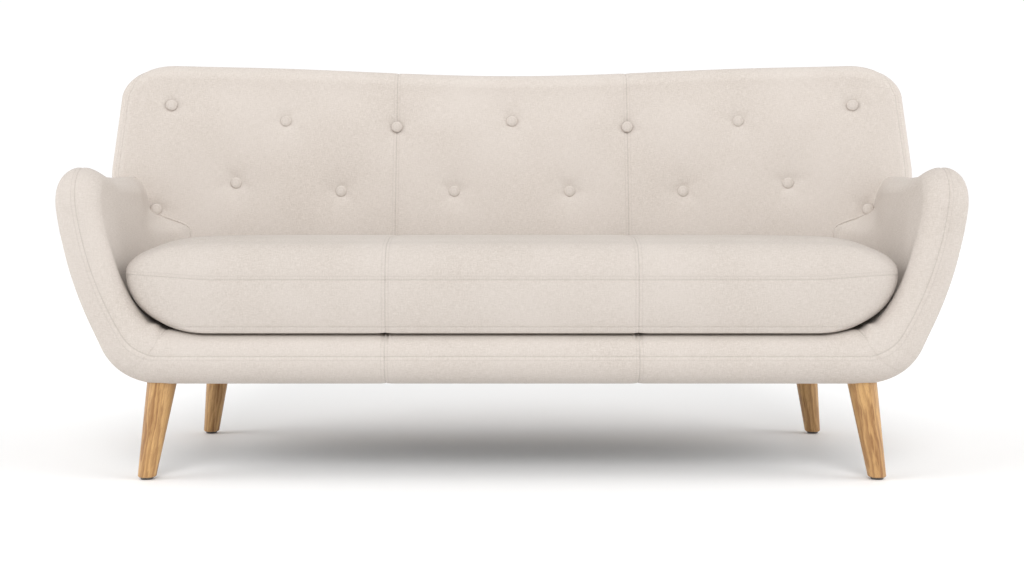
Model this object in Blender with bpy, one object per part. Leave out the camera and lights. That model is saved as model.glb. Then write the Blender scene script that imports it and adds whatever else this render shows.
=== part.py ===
"""A three-seat tub sofa with a buttoned back, one loose seat cushion and four splayed oak legs.

Metres, +Z up.  The front faces -Y, +X is to the right as seen from the front, and the floor is Z = 0.
"""
import math

import bmesh
import bpy
import numpy as np

GAP = 0.0003  # clearance between pieces that touch
OVERCUT = 0.02  # how far a cutter runs on past the surface that it cuts

# The tub: a U-shaped wall seen from the front, flat below the seat and bent up into the two arms.
BASE_Z = 0.2475  # height of the middle of the wall under the seat
BASE_HALF = 0.0545  # half of the wall's thickness under the seat
ARM_HALF = 0.0465  # half of the wall's thickness at the top of an arm
FLAT_X = 0.712  # where the wall starts to bend up
BEND_1, RADIUS_1 = math.radians(59.0), 0.088
BEND_2, RADIUS_2 = math.radians(26.0), 0.70
FRONT_Y = -0.43
REAR_Y = 0.43
BORDER_Y = -0.335  # rear edge of the front border
MITRE_AT, MITRE_SLOPE = 0.735, 0.58  # where the border meets an arm, along the wall
CUTTER_SWELL = 1.3  # how much thicker than the border its cutter is
BORDER_SHARES = (0.16, 0.5, 0.84, 0.955, 0.978, 1.0)  # stations from the middle of the border to its end
ARM_CORNER = 0.10  # radius of an arm's front top corner, from the side
ARM_START = 0.70  # where an arm starts along the wall
ARM_REAR_Y = 0.16  # inside the back, which cuts the arm off
ARM_MIDDLE_Y = -0.30  # first of an arm's even stations, behind its rounded front
SEAM_X = 0.2565  # the fabric's vertical seams, with a cross rail under each

# The back.
BACK_HALF_X = 0.945
BACK_TOP = 0.882
BACK_RISE = 0.018  # how much higher the top is near the ends
BACK_RISE_X = 0.66  # where it is as high as it gets
BACK_CORNER_X, BACK_CORNER = 0.140, 0.095  # width and height of the oval corners
BACK_LEAN_X, BACK_LEAN = 0.017, 0.155  # how far, and over what height, its sides lean in below them
BACK_FRONT_Y = 0.097  # front face at the height of BACK_FOOT_Z, in the middle
BACK_FOOT_Z = 0.30
BACK_SLOPE = math.tan(math.radians(10.5))
BACK_REAR_SLOPE = 0.16
BACK_WRAP = 0.11  # how far the ends of the back come forward
BACK_WRAP_FROM = 0.30
BACK_ROUND = 0.022
BACK_FLARE = 0.24  # extra lean of the back's sides just above the arms
CAVITY_DEPTH = 0.095  # the hollow behind, for the back's frame
CAVITY_INSET = 0.058
COVER_THICK = 0.004
COVER_SET_IN = 0.002  # the closing panel lies this far inside the rear face

# The loose seat cushion.
CUSHION_HALF_X = 0.781
CUSHION_FRONT_Y = -0.415
CUSHION_Z, CUSHION_TOP_Z = 0.3055, 0.4815
CUSHION_WIDEST_Z = 0.4055
CUSHION_CORNER = 0.08
CUSHION_SIDE = 0.115  # how far the rounded end reaches inwards, above
CUSHION_UNDERSIDE = 0.165  # the same below, where it follows the tub
CUSHION_EDGE = 0.05  # how far the rounded front and rear reach inwards
CUSHION_BACK_CLEARANCE = 0.012
COVER_WALL = 0.002
CLOSING_SEAM, CLOSING_HALF_X = 0.0012, 0.25  # height and half length of the slit at the rear
CORE_EASE = 0.0012  # between the cover and the foam core

# The base frame.
BAY_X = 0.752  # half width of the hollow that holds the base frame
BAY_Z = 0.2865
BACK_BAY_Z = 0.3018  # higher under the back, where the deck runs through
PANEL_DEPTHS = (-0.62, -0.30)  # an arm's plywood, in halves of the wall's thickness
PANEL_Y = (-0.378, 0.255)
PANEL_ENDS = (0.052, 0.02)  # short of the flat and of the arm's top
BAY_FRONT_Y = -0.396
BAY_REAR_Y = 0.285
DUST_Z = (0.2035, 0.2050)
BLOCK_Z = (0.2053, 0.2430)
RAIL_Z = (0.2433, 0.2780)
PANEL_THICK = 0.006
RAIL_THICK = 0.024
EDGE = 0.002  # chamfer on the rails
BLOCK_SIZE = 0.088
WEBBING_Z = 0.2796
WEBBING_THICK = 0.0015
WEBBING_XS = [0.2 * k for k in range(-3, 4)]
SEAT_WEBBING_YS, SEAT_WEBBING_WIDTH = (-0.36, -0.15, 0.06, 0.25), 0.06
BACK_WEBBING_ZS, BACK_WEBBING_WIDTH = (0.36, 0.50, 0.62, 0.72), 0.05
DECK_Z = (0.2868, 0.3015)
DECK_HALF_X = 0.699
DECK_REACH = 0.12  # how far the deck runs in under the back
REAR_CLEARANCE = 0.004
CROSS_RAIL_DROPS = (0.020, 0.006)  # below the other rails, at the bottom and at the top

# The legs: centres of the feet and of the tops, on the right.
FOOT_X, TOP_X = 0.743, 0.716
FOOT_FRONT_Y, TOP_FRONT_Y = -0.385, -0.364
FOOT_REAR_Y, TOP_REAR_Y = 0.237, 0.216
FOOT_RADIUS, TOP_RADIUS = 0.0185, 0.0305
GLIDE_HEIGHT, GLIDE_RADIUS = 0.004, 0.013
LEG_SIDES, GLIDE_SIDES, BOLT_SIDES = 40, 24, 10
FOOT_CHAMFER, CHAMFER_SHARE = 0.0025, 0.012  # its size, and its height as a share of the leg
GLIDE_EDGE = 0.001
BOLT_RADIUS, BOLT_DEPTH, BOLT_EASE = 0.004, 0.040, 0.0006
BOLT_SHORT = 0.002  # a bolt ends this far below the top of its block

# The back's frame, measured from the back's rear face.
POST_FRONT, POST_REAR = -0.062, -0.022
POST_FOOT, POST_TOP = 0.308, 0.76
POSTS = (("back_post_", 0.735, 0.05), ("back_upright_", 0.28, 0.04))  # name, distance from the middle, width
TOP_RAIL_HALF, TOP_RAIL_HEIGHT = 0.80, 0.035

BUTTON_RADIUS, BUTTON_FOOT_RADIUS = 0.0145, 0.0119
BUTTON_RIM, BUTTON_DOME, BUTTON_SIDES = 0.0018, 0.0044, 16
POCKET_RADIUS, POCKET_DEPTHS = 0.0185, (-0.012, 0.06)
POCKET_TURN = 2.4  # a pocket faces further towards the middle than its button
BUTTON_LIFT = 0.0012  # clears the facets of the back's curved face
BUTTON_PLACES = [(0.0, 0.766), (0.280, 0.752), (0.548, 0.765), (0.814, 0.800)]  # upper row
BUTTON_PLACES += [(0.139, 0.595), (0.412, 0.595), (0.660, 0.614)]  # lower row
BUTTON_PLACES += [(0.838, 0.551)]  # where the back meets an arm

SIDES = {"left": -1, "right": 1}
FLAT, SMOOTH = False, True


def clear_scene():
    for thing in list(bpy.data.objects):
        bpy.data.objects.remove(thing, do_unlink=True)


def material(name, colour, roughness, metallic=0.0):
    made = bpy.data.materials.new(name)
    made.use_nodes = True
    shader = made.node_tree.nodes["Principled BSDF"]
    shader.inputs["Base Color"].default_value = (*colour, 1.0)
    shader.inputs["Roughness"].default_value = roughness
    shader.inputs["Metallic"].default_value = metallic
    return made


def add_object(name, bm, surface, smooth):
    bmesh.ops.recalc_face_normals(bm, faces=bm.faces)
    mesh = bpy.data.meshes.new(name)
    bm.to_mesh(mesh)
    bm.free()
    if smooth:
        mesh.shade_smooth()
        mesh.set_sharp_from_angle(angle=math.radians(40))
    made = bpy.data.objects.new(name, mesh)
    bpy.context.collection.objects.link(made)
    if surface:
        mesh.materials.append(surface)
    return made


def as_cutter(made):
    made.hide_render = True
    made.display_type = "WIRE"
    return made


def cut(target, cutter):
    step = target.modifiers.new("cut_" + cutter.name, "BOOLEAN")
    step.operation = "DIFFERENCE"
    step.solver = "EXACT"
    step.object = cutter


def box(name, low, high, surface=None, bevel=0.0):
    bm = bmesh.new()
    bmesh.ops.create_cube(bm, size=1.0)
    for vert in bm.verts:
        vert.co = [lo + (c + 0.5) * (hi - lo) for c, lo, hi in zip(vert.co, low, high)]
    made = add_object(name, bm, surface, FLAT)
    if bevel:
        step = made.modifiers.new("edges", "BEVEL")
        step.width = bevel
        step.segments = 1
    return made


def turned(name, rings, sides, surface):
    """A round solid through rings of (x, y, z, radius), each ring level."""
    bm = bmesh.new()
    loops = []
    for x, y, z, radius in rings:
        turns = [2 * math.pi * k / sides for k in range(sides)]
        loops.append([bm.verts.new((x + radius * math.cos(a), y + radius * math.sin(a), z)) for a in turns])
    for low, high in zip(loops, loops[1:]):
        for k in range(sides):
            j = (k + 1) % sides
            bm.faces.new((low[k], low[j], high[j], high[k]))
    bm.faces.new(loops[0][::-1])
    bm.faces.new(loops[-1])
    return add_object(name, bm, surface, SMOOTH)


def layered(name, layers, surface=None):
    """A closed solid from grids of points: caps on the first and last, walls around all of them."""
    bm = bmesh.new()
    across, along = layers[0].shape[:2]
    rim = [(i, 0) for i in range(across)] + [(across - 1, j) for j in range(1, along)]
    rim += [(i, along - 1) for i in range(across - 2, -1, -1)] + [(0, j) for j in range(along - 2, 0, -1)]
    loops = []
    for number, grid in enumerate(layers):
        if number in (0, len(layers) - 1):
            points = [[bm.verts.new(grid[i, j]) for j in range(along)] for i in range(across)]
            for i in range(across - 1):
                for j in range(along - 1):
                    bm.faces.new((points[i][j], points[i + 1][j], points[i + 1][j + 1], points[i][j + 1]))
            loops.append([points[i][j] for i, j in rim])
        else:
            loops.append([bm.verts.new(grid[i, j]) for i, j in rim])
    for low, high in zip(loops, loops[1:]):
        for k in range(len(rim)):
            j = (k + 1) % len(rim)
            bm.faces.new((low[k], low[j], high[j], high[k]))
    return add_object(name, bm, surface, SMOOTH)


def corner(distance, half, radius, inset=0.0, height=None):
    """How far a rounded outline draws in at a distance from its middle, for an outline inset by inset.

    A corner of its own height is an oval, radius wide.
    """
    height = height or radius
    share = max(0.0, abs(distance) - (half - radius)) / (radius - inset)
    return height - (height - inset) * math.sqrt(max(0.0, 1 - share ** 2))


def stations(half, radius, inset, middle, turns=4):
    """Positions from -half to half: even ones in the middle, and turns of an arc in each corner."""
    arc = [half - radius + (radius - inset) * math.sin(math.pi / 2 * k / turns) for k in range(1, turns + 1)]
    flat = list(np.linspace(-(half - radius), half - radius, middle))
    return [-x for x in reversed(arc)] + flat + arc


def tub_bend(t):
    """Middle line of the tub wall at distance t from the sofa's middle: |x|, z and slope angle."""
    first, second = RADIUS_1 * BEND_1, RADIUS_2 * BEND_2
    x, z, angle = min(t, FLAT_X), BASE_Z, 0.0
    rest = max(0.0, t - FLAT_X)
    for length, radius in ((first, RADIUS_1), (second, RADIUS_2)):
        turn = min(rest, length) / radius
        x += radius * (math.sin(angle + turn) - math.sin(angle))
        z += radius * (math.cos(angle) - math.cos(angle + turn))
        angle += turn
        rest -= min(rest, length)
    return x + rest * math.cos(angle), z + rest * math.sin(angle), angle


def wall_half(t):
    """Half of the wall's thickness, from BASE_HALF under the seat to ARM_HALF at an arm's top."""
    share = min(1.0, max(0.0, (abs(t) - FLAT_X) / 0.3))
    return BASE_HALF + (ARM_HALF - BASE_HALF) * share


def tub_point(t, depth):
    """Point (x, z) of the tub wall; depth runs from -1 on its outer face to 1 on its inner face."""
    x, z, angle = tub_bend(abs(t))
    shift = depth * wall_half(t)
    return math.copysign(x - shift * math.sin(angle), t), z + shift * math.cos(angle)


TUB_END = FLAT_X + RADIUS_1 * BEND_1 + RADIUS_2 * BEND_2  # where the round top of an arm starts
BEND_STATIONS = [FLAT_X + RADIUS_1 * BEND_1 * k / 4 for k in range(5)]
BEND_STATIONS += [FLAT_X + RADIUS_1 * BEND_1 + RADIUS_2 * BEND_2 * k / 4 for k in range(1, 4)]


def outer_height(x, inset=0.0):
    """Height of the tub's outer face, or of its line carried on upwards, at x; drawn in by inset."""
    ts = np.linspace(0, TUB_END + 0.16, 90)
    samples = [tub_point(t, -1 + inset / wall_half(t)) for t in ts]
    widths = [point[0] + BACK_FLARE * max(0.0, t - TUB_END) for t, point in zip(ts, samples)]
    return float(np.interp(abs(x), widths, [point[1] for point in samples]))


def back_front(x, z):
    """Y of the back's front face: it leans back, and its ends come forward around the seat."""
    share = max(0.0, abs(x) - BACK_WRAP_FROM) / (BACK_HALF_X - BACK_WRAP_FROM)
    return BACK_FRONT_Y + BACK_SLOPE * (z - BACK_FOOT_Z) - BACK_WRAP * share ** 2


def back_rear(z):
    """Y of the back's rear face, which leans back and ends where the rounded top starts."""
    return REAR_Y - BACK_REAR_SLOPE * (BACK_TOP + BACK_RISE - BACK_ROUND - z)


def back_top(x):
    share = min(1.0, abs(x) / BACK_RISE_X)
    return BACK_TOP + BACK_RISE * (1 - math.cos(math.pi * share)) / 2


def back_corner(x, inset):
    """How far the back's top draws in at its ends: an oval corner above a side that leans in."""
    lean = min(1.0, max(0.0, 1 - (BACK_HALF_X - inset - abs(x)) / BACK_LEAN_X))
    return corner(x, BACK_HALF_X - BACK_LEAN_X, BACK_CORNER_X, inset, BACK_CORNER) + BACK_LEAN * lean


def back_grid(inset, rows=8, middle=21):
    """Points (x, z) of the back's outline seen from the front, drawn in by inset."""
    grid = []
    for x in stations(BACK_HALF_X, BACK_CORNER_X, inset, middle, 6):
        low = outer_height(x, inset)
        high = back_top(x) - back_corner(x, inset)
        grid.append([(x, low + (high - low) * k / (rows - 1)) for k in range(rows)])
    return grid


def back_layer(inset, share, shift=0.0):
    """One layer of the back; share runs from 0 on its front face to 1 on its rear face."""
    rows = []
    for line in back_grid(inset):
        rows.append([(x, (1 - share) * back_front(x, z) + share * back_rear(z) + shift, z) for x, z in line])
    return np.array(rows)


def back_pad(fabric):
    """The back's foam and fabric, rounded at its rim, with a hollow for its frame that opens behind."""
    turns = [math.radians(a) for a in (90, 60, 30, 0)]
    insets = [BACK_ROUND * (1 - math.cos(a)) for a in turns]
    depths = [BACK_ROUND * (1 - math.sin(a)) for a in turns]
    layers = [back_layer(i, 0.0, d) for i, d in zip(insets, depths)]
    layers += [back_layer(i, 1.0, -d) for i, d in zip(insets[::-1], depths[::-1])]
    pad = layered("back_pad", layers, fabric)
    hollow = [back_layer(CAVITY_INSET, 1.0, shift) for shift in (-CAVITY_DEPTH, OVERCUT)]
    cut(pad, as_cutter(layered("back_hollow", hollow)))
    return pad


def behind_back():
    """A cutter whose front is the back's front face, drawn forward by the gap between pieces."""
    layers = [back_layer(-OVERCUT, 0.0, shift) for shift in (-2 * GAP, 0.5)]
    return as_cutter(layered("behind_back", layers))


def back_cover(fabric):
    """The flat panel that closes the back's hollow from behind."""
    inset = CAVITY_INSET + 2 * GAP
    layers = [back_layer(inset, 1.0, -COVER_SET_IN - depth) for depth in (COVER_THICK, 0.0)]
    return layered("back_cover", layers, fabric)


ROUND = [math.radians(a) for a in (-90, -60, -30, 0, 30, 60, 90)]  # turns from one face to the other


def arm_layer(side, turn):
    """One layer through the thickness of an arm, from -90 degrees outside to 90 degrees inside."""
    inset = ARM_HALF * (1 - math.cos(turn))
    end = TUB_END + ARM_HALF
    rows = []
    top = [end - ARM_CORNER + (ARM_CORNER - inset) * math.sin(math.pi / 2 * k / 4) for k in range(5)]
    for t in [ARM_START] + BEND_STATIONS + top:
        front = FRONT_Y + corner(t, end, ARM_CORNER, inset)
        x, z = tub_point(t, math.sin(turn))
        rows.append([(side * x, y, z) for y in (front, *np.linspace(ARM_MIDDLE_Y, ARM_REAR_Y, 4))])
    return np.array(rows)


def border_layer(turn, margin, rear):
    """One layer of the front border, whose ends are cut at the mitre; margin grows it into a cutter."""
    depth = math.sin(turn)
    inset = BASE_HALF * (1 - math.cos(turn))
    if margin:
        inset = -OVERCUT
        depth *= CUTTER_SWELL if abs(turn) == ROUND[-1] else 1.0
    end = MITRE_AT - MITRE_SLOPE * depth * BASE_HALF + margin
    half = [end * share for share in BORDER_SHARES]
    rows = []
    for t in [-t for t in reversed(half)] + half:
        x, z = tub_point(t, depth)
        rows.append([(x, y, z) for y in (FRONT_Y + inset, rear)])
    return np.array(rows)


def bay(name, half_x, top):
    """The hollow of the base, open below, that holds the frame."""
    return as_cutter(box(name, (-half_x, BAY_FRONT_Y, 0.1), (half_x, BAY_REAR_Y, top)))


def wall_slab(name, side, surface, grow):
    """The bent plywood inside an arm, or, with grow, the slot that it fits."""
    start, end = FLAT_X + PANEL_ENDS[0] - grow, TUB_END - PANEL_ENDS[1] + grow
    front, rear = PANEL_Y
    layers = []
    for depth, push in zip(PANEL_DEPTHS, (-grow, grow)):
        rows = []
        for t in np.linspace(start, end, 9):
            x, z = tub_point(t, depth + push / wall_half(t))
            rows.append([(side * x, y, z) for y in (front - grow, rear + grow)])
        layers.append(np.array(rows))
    return layered(name, layers, surface)


def soft_parts(fabric, ply):
    pad = back_pad(fabric)
    cut(pad, bay("back_bay", BAY_X, BACK_BAY_Z))
    rear_cut = behind_back()
    arm_bay = bay("arm_bay", BAY_X, BAY_Z)
    for name, side in SIDES.items():
        arm = layered("arm_pad_" + name, [arm_layer(side, a) for a in ROUND], fabric)
        margin = 2 * GAP
        mitre_cut = as_cutter(layered("mitre_cut_" + name, [
            border_layer(a, margin, BORDER_Y + GAP) for a in ROUND]))
        slot = as_cutter(wall_slab("arm_slot_" + name, side, None, GAP))
        for cutter in (rear_cut, arm_bay, mitre_cut, slot, button_pocket(side)):
            cut(arm, cutter)
        cut(pad, slot)
        wall_slab("arm_panel_" + name, side, ply, 0.0)
    border = layered("front_border", [border_layer(a, 0.0, BORDER_Y) for a in ROUND], fabric)
    cut(border, arm_bay)
    back_cover(fabric)


def cushion_layer(turn, wall):
    """One layer of the seat cushion from -90 degrees below to 90 degrees above, drawn in by wall."""
    height = (CUSHION_WIDEST_Z - CUSHION_Z if turn < 0 else CUSHION_TOP_Z - CUSHION_WIDEST_Z) - wall
    side = (CUSHION_UNDERSIDE if turn < 0 else CUSHION_SIDE) * (1 - math.cos(turn)) + wall
    edge = CUSHION_EDGE * (1 - math.cos(turn)) + wall
    z = CUSHION_WIDEST_Z + height * math.sin(turn)
    half = CUSHION_HALF_X
    rows = []
    for x in stations(half, CUSHION_CORNER, 0.0, 11):
        x *= (half - side) / half
        drawn = corner(x / (half - side) * half, half, CUSHION_CORNER)
        front = CUSHION_FRONT_Y + edge + drawn
        rear = back_front(x, CUSHION_Z) - CUSHION_BACK_CLEARANCE - edge - drawn
        rows.append([(x, y, z) for y in np.linspace(front, rear, 4)])
    return np.array(rows)


def seat_cushion(fabric, foam):
    """A sewn cover with a fine slit where its closing seam runs, and the foam core inside it."""
    cover = layered("seat_cushion_cover", [cushion_layer(a, 0.0) for a in ROUND], fabric)
    cut(cover, as_cutter(layered("cushion_inside", [cushion_layer(a, COVER_WALL) for a in ROUND])))
    low = (-CLOSING_HALF_X, 0.0, CUSHION_WIDEST_Z - CLOSING_SEAM / 2)
    high = (CLOSING_HALF_X, 0.2, CUSHION_WIDEST_Z + CLOSING_SEAM / 2)
    cut(cover, as_cutter(box("closing_slit", low, high)))
    layered("seat_cushion_core", [cushion_layer(a, COVER_WALL + CORE_EASE) for a in ROUND], foam)


def seat_deck(cloth):
    rear = back_front(0.0, DECK_Z[0]) + DECK_REACH
    box("seat_deck", (-DECK_HALF_X, BORDER_Y + GAP, DECK_Z[0]), (DECK_HALF_X, rear, DECK_Z[1]), cloth)


def lattice(name, ys, width, place, surface):
    """Straps crossing at WEBBING_XS and ys, as one mat of square holes."""
    columns = sorted([x + shift * width / 2 for x in WEBBING_XS for shift in (-1, 1)])
    rows = sorted([y + shift * width / 2 for y in ys for shift in (-1, 1)])
    bm = bmesh.new()
    verts = [[bm.verts.new(place(x, y)) for y in rows] for x in columns]
    for i in range(len(columns) - 1):
        for j in range(len(rows) - 1):
            if i % 2 == 0 or j % 2 == 0:
                bm.faces.new((verts[i][j], verts[i + 1][j], verts[i + 1][j + 1], verts[i][j + 1]))
    made = add_object(name, bm, surface, FLAT)
    step = made.modifiers.new("thickness", "SOLIDIFY")
    step.thickness = WEBBING_THICK
    step.offset = 0.0
    return made


def base_frame(timber, ply, webbing, dark):
    front = BAY_FRONT_Y + GAP
    inner_front = front + PANEL_THICK + GAP
    side_outer = BAY_X - GAP
    rear = BAY_REAR_Y - REAR_CLEARANCE
    rail_front = inner_front + RAIL_THICK + GAP
    rail_rear = rear - RAIL_THICK - GAP
    box("front_panel", (-side_outer, front, BLOCK_Z[0]), (side_outer, front + PANEL_THICK, RAIL_Z[1]), ply)
    low, high = (-side_outer, inner_front, RAIL_Z[0]), (side_outer, rail_front - GAP, RAIL_Z[1])
    box("front_rail", low, high, timber, EDGE)
    low, high = (-side_outer, rail_rear + GAP, RAIL_Z[0]), (side_outer, rear, RAIL_Z[1])
    box("rear_rail", low, high, timber, EDGE)
    for name, side in SIDES.items():
        ends = sorted((side * (side_outer - RAIL_THICK), side * side_outer))
        low, high = (ends[0], rail_front, RAIL_Z[0]), (ends[1], rail_rear, RAIL_Z[1])
        box("side_rail_" + name, low, high, timber, EDGE)
        middle = side * SEAM_X
        low = (middle - RAIL_THICK / 2, rail_front, RAIL_Z[0] - CROSS_RAIL_DROPS[0])
        high = (middle + RAIL_THICK / 2, rail_rear, RAIL_Z[1] - CROSS_RAIL_DROPS[1])
        box("cross_rail_" + name, low, high, timber, EDGE)
    lattice("seat_webbing", SEAT_WEBBING_YS, SEAT_WEBBING_WIDTH, lambda x, y: (x, y, WEBBING_Z), webbing)
    dust = box("dust_cover", (-side_outer, front, DUST_Z[0]), (side_outer, rear, DUST_Z[1]), dark)
    return dust, inner_front, rear


def leg_set(oak, steel, nylon, timber, dust, block_front, block_rear):
    """Each leg with its glide, its hanger bolt and the corner block that the bolt screws into."""
    leg_top = DUST_Z[0] - GAP
    for row, foot_y, top_y in (("front", FOOT_FRONT_Y, TOP_FRONT_Y), ("rear", FOOT_REAR_Y, TOP_REAR_Y)):
        for name, side in SIDES.items():
            label = row + "_" + name
            foot_x, top_x = side * FOOT_X, side * TOP_X
            bottom = GLIDE_HEIGHT + GAP
            rings = []
            for share, less in ((0.0, FOOT_CHAMFER), (CHAMFER_SHARE, 0.0), (1.0, 0.0)):
                radius = FOOT_RADIUS + (TOP_RADIUS - FOOT_RADIUS) * share - less
                x = foot_x + (top_x - foot_x) * share
                y = foot_y + (top_y - foot_y) * share
                rings.append((x, y, bottom + (leg_top - bottom) * share, radius))
            leg = turned("leg_" + label, rings, LEG_SIDES, oak)
            levels = ((0.0, GLIDE_EDGE), (GLIDE_EDGE, 0.0), (GLIDE_HEIGHT, 0.0))
            disc = [(foot_x, foot_y, z, GLIDE_RADIUS - less) for z, less in levels]
            turned("glide_" + label, disc, GLIDE_SIDES, nylon)
            low, high = leg_top - BOLT_DEPTH, BLOCK_Z[1] - BOLT_SHORT
            turned("bolt_" + label, [(top_x, top_y, z, BOLT_RADIUS) for z in (low, high)], BOLT_SIDES, steel)
            bore = [(top_x, top_y, z, BOLT_RADIUS + BOLT_EASE) for z in (low - GAP, high + OVERCUT)]
            hole = as_cutter(turned("bore_" + label, bore, BOLT_SIDES, None))
            outer = side * (BAY_X - GAP)
            xs = sorted((outer, outer - side * BLOCK_SIZE))
            y = block_front if row == "front" else block_rear - BLOCK_SIZE
            block_low, block_high = (xs[0], y, BLOCK_Z[0]), (xs[1], y + BLOCK_SIZE, BLOCK_Z[1])
            block = box("corner_block_" + label, block_low, block_high, timber)
            for piece in (leg, dust, block):
                cut(piece, hole)


def leaning(name, x_low, x_high, front, rear, z_low, z_high, surface):
    """An upright of the back frame: level ends, leaning with the back's rear face."""
    made = box(name, (x_low, front, z_low), (x_high, rear, z_high), surface)
    for vert in made.data.vertices:
        vert.co.y += back_rear(vert.co.z)
    return made


def back_frame(timber, webbing):
    """Posts and uprights that stand on the rear rail, the top rail across them, and the webbing."""
    front, rear = POST_FRONT, POST_REAR
    foot, head = POST_FOOT, POST_TOP
    for name, side in SIDES.items():
        for kind, middle, width in POSTS:
            low = side * middle - width / 2
            leaning(kind + name, low, low + width, front, rear, foot, head, timber)
    top = head + TOP_RAIL_HEIGHT
    leaning("back_top_rail", -TOP_RAIL_HALF, TOP_RAIL_HALF, front, rear, head + GAP, top, timber)

    def on_frame(x, z):
        return (x, back_rear(z) + front - WEBBING_THICK / 2 - 3 * GAP, z)

    lattice("back_webbing", BACK_WEBBING_ZS, BACK_WEBBING_WIDTH, on_frame, webbing)


def face_back(made, x, z, extra=1.0):
    """Puts an object on the back at (x, z), facing out; extra turns it further towards the middle."""
    step = 0.004
    across = (back_front(x + step, z) - back_front(x - step, z)) / (2 * step)
    made.rotation_euler = (math.pi / 2 - math.atan(BACK_SLOPE), 0.0, extra * math.atan(across))
    made.location = (x, back_front(x, z) - BUTTON_LIFT, z)


def button(name, x, z, fabric):
    rings = [(0, 0, 0.0, BUTTON_FOOT_RADIUS), (0, 0, BUTTON_RIM, BUTTON_RADIUS)]
    rings += [(0, 0, BUTTON_RIM + BUTTON_DOME * math.sin(a), BUTTON_RADIUS * math.cos(a)) for a in (0.55, 1.0)]
    face_back(turned(name, rings, BUTTON_SIDES, fabric), x, z)


def button_pocket(side):
    """Room in an arm's rear corner for the lowest button, which sits where the arm meets the back."""
    x, z = BUTTON_PLACES[-1]
    rings = [(0, 0, depth, POCKET_RADIUS) for depth in POCKET_DEPTHS]
    pocket = as_cutter(turned("pocket_" + str(side), rings, BUTTON_SIDES, None))
    face_back(pocket, side * x, z, POCKET_TURN)
    return pocket


def buttons(fabric):
    places = [(side * x, z) for x, z in BUTTON_PLACES for side in (-1, 1) if x or side > 0]
    places.sort(key=lambda place: (-place[1], place[0]))
    for number, (x, z) in enumerate(places, 1):
        button(f"back_button_{number:02d}", x, z, fabric)


def main():
    clear_scene()
    fabric = material("oatmeal_fabric", (0.74, 0.68, 0.60), 0.95)
    foam = material("foam", (0.85, 0.80, 0.62), 0.95)
    oak = material("oak", (0.55, 0.35, 0.16), 0.45)
    timber = material("frame_timber", (0.66, 0.50, 0.31), 0.7)
    ply = material("plywood", (0.70, 0.54, 0.34), 0.65)
    webbing = material("elastic_webbing", (0.18, 0.16, 0.15), 0.85)
    dark = material("dust_cloth", (0.03, 0.03, 0.03), 0.95)
    felt = material("deck_felt", (0.55, 0.51, 0.46), 0.95)
    steel = material("zinc_plated_steel", (0.62, 0.62, 0.60), 0.35, 1.0)
    nylon = material("nylon", (0.20, 0.18, 0.16), 0.5)
    soft_parts(fabric, ply)
    seat_cushion(fabric, foam)
    seat_deck(felt)
    dust, block_front, block_rear = base_frame(timber, ply, webbing, dark)
    leg_set(oak, steel, nylon, timber, dust, block_front, block_rear)
    back_frame(timber, webbing)
    buttons(fabric)


main()
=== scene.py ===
"""Looks of a three-seat tub sofa: woven upholstery, buttoned back, loose seat cushion and oak legs.

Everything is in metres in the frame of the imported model.  The front faces -Y and the floor is Z = 0.
"""

import math

import bmesh
import bpy
import numpy as np
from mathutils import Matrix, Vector


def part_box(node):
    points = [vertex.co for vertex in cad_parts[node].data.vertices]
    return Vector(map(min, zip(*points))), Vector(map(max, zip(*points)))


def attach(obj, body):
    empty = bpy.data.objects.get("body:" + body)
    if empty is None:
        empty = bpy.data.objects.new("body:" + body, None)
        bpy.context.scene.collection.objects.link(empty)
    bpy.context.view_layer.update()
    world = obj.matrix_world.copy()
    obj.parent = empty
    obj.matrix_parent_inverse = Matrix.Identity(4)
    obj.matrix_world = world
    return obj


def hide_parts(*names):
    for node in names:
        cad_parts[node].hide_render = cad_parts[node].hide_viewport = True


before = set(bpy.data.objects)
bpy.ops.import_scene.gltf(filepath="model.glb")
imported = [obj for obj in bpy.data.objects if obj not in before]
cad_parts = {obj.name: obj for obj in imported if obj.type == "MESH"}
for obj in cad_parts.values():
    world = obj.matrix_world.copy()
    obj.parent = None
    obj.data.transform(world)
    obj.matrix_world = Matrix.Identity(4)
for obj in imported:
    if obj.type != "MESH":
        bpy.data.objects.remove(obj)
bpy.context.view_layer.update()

# The tub: a wall seen from the front, flat below the seat and bent up into the two arms.
BASE_Z, BASE_HALF, ARM_HALF = 0.2475, 0.0545, 0.0465
FLAT_X = 0.712
BEND_1, RADIUS_1 = math.radians(59.0), 0.088
BEND_2, RADIUS_2 = math.radians(26.0), 0.70
TUB_END = FLAT_X + RADIUS_1 * BEND_1 + RADIUS_2 * BEND_2
FRONT_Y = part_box("front_border")[0].y
BORDER_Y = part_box("front_border")[1].y
MITRE_AT, MITRE_SLOPE = 0.735, 0.58
MITRE_REAR_SLOPE = 0.1  # the slope of its outer half where the arm runs on behind the border
LAP, LAP_DIVE = 0.004, 0.35  # how far border and arm run on under each other, and how steeply
RIM_SEAM = 0.005  # the seam along border and arms, above or inside the middle of the rim
MITRE_FADE = 0.02  # how far off the mitre counts as lying where its groove has faded away
ARM_CORNER = 0.085
CORNER_PUFF = 0.35  # how much squarer the rim is where border and arm turn into each other
CORNER_PUFF_AT, CORNER_PUFF_REACH = 0.76, 0.06
BORDER_PRESS = 0.006  # how far the seat cushion presses the border down
PUCKER, PUCKER_PITCH = 0.0026, 0.0085  # the folds across the border's top at its seams
ARM_DIP, ARM_RISE = 0.016, 0.008  # how much lower an arm's top is behind its front corner, and rises again
ARM_FILLET, ARM_NARROW = 0.064, 0.020  # how an arm thickens low down, and narrows above, at the back
ARM_MEETS_Z = 0.562  # the height between the two
ARM_CROWN = 0.004  # how much fuller the faces of an arm are than its edges
BELLY, CORNER_FILL = 0.004, 0.011  # how much fuller the tub's lower corners are, outside and inside
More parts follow.
